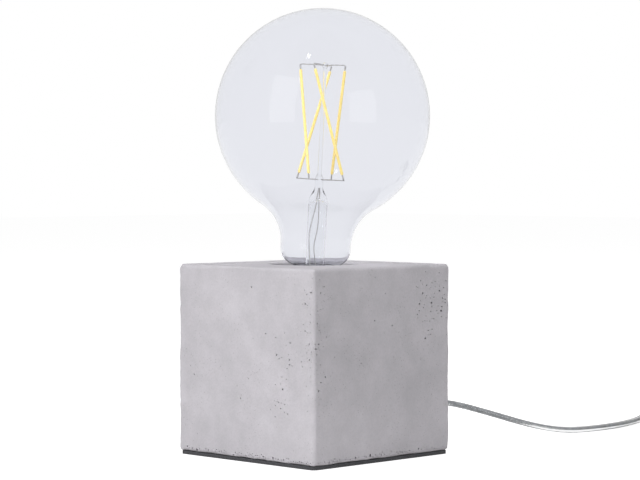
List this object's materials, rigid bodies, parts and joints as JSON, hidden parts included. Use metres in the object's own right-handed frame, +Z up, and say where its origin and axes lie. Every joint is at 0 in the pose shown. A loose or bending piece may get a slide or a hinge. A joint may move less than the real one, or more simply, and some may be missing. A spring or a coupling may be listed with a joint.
{
  "type": "table lamp",
  "caption": "Table lamp: a cast concrete cube with a recessed screw holder, a large clear globe filament bulb, a clear flat lead with an in-line rocker switch, and a plug.",
  "frame": {"origin": "centre of the base pad's underside, on the table", "axes": "+Z up along the block's and the holder's axis; the lead leaves the block at +Y; the block's faces look along X and Y"},
  "size_m": [0.1895, 0.5018, 0.2594],
  "materials": {
    "concrete": "matt cast concrete",
    "pad": "dark foam",
    "steel": "zinc plated",
    "holder_plastic": "black moulded plastic",
    "ceramic": "glazed white",
    "brass": "plain",
    "clear_glass": "clear",
    "filament": "yellow phosphor",
    "nickel": "nickel wire",
    "board": "green circuit board",
    "parts": "dark component",
    "black_glass": "black insulator",
    "clear_pvc": "clear flexible plastic over silvery cores",
    "cord": "clear flexible plastic over silvery cores",
    "core": "clear insulation",
    "switch_plastic": "white",
    "rocker": "white",
    "tie": "white band"
  },
  "bodies": {
    "lamp_body": {"base_pad": "pad", "concrete_block": "concrete", "threaded_nipple": "steel", "lower_washer": "steel", "upper_washer": "steel", "nipple_nut": "steel", "screw_shell": "brass", "holder_dome": "holder_plastic", "dome_lock_screw": "holder_plastic", "holder_skirt": "holder_plastic", "holder_insert": "ceramic", "centre_contact": "brass", "line_terminal": "brass", "neutral_terminal": "brass", "terminal_screws": "steel", "exit_bush": "clear_pvc", "bush_nut": "clear_pvc", "inner_cord": "cord", "line_core": "core", "neutral_core": "core", "switch_base": "switch_plastic", "switch_cover": "switch_plastic", "rocker_pin": "steel", "switch_contacts": "brass", "switch_screws": "steel", "cord_to_switch": "cord", "cord_to_coil": "cord", "cord_coil": "cord", "cord_tie": "tie", "cord_to_plug": "cord", "plug_body": "switch_plastic", "plug_relief": "switch_plastic", "plug_pins": "nickel", "plug_sleeves": "holder_plastic"},
    "bulb_tip": {"cap_contact": "nickel"},
    "bulb": {"glass_envelope": "clear_glass", "bulb_stem": "clear_glass", "led_filament_1": "filament", "led_filament_2": "filament", "led_filament_3": "filament", "led_filament_4": "filament", "filament_tabs": "nickel", "top_wires": "nickel", "bottom_wires": "nickel", "lead_in_wires": "nickel", "driver_board": "board", "driver_parts": "parts", "cap_shell": "nickel", "cap_insulator": "black_glass"},
    "rocker": {"switch_rocker": "rocker"}
  },
  "joints": [
    {"name": "bulb_rise", "type": "slide", "parent": "lamp_body", "child": "bulb_tip", "axis": [0, 0, 1], "range_m": [0, 0.01452]},
    {"name": "bulb_turn", "type": "hinge", "parent": "bulb_tip", "child": "bulb", "pos_m": [0, 0, 0.104], "axis": [0, 0, 1], "range_deg": [0, 1440]},
    {"name": "rocker_tip", "type": "hinge", "parent": "lamp_body", "child": "rocker", "pos_m": [0.03, 0.333, 0.016], "axis": [1, 0, 0], "range_deg": [0, 16]}
  ],
  "couplings": [
    {"joint": "bulb_rise", "follows": "bulb_turn", "m_per_rad": 0.00057757}
  ]
}
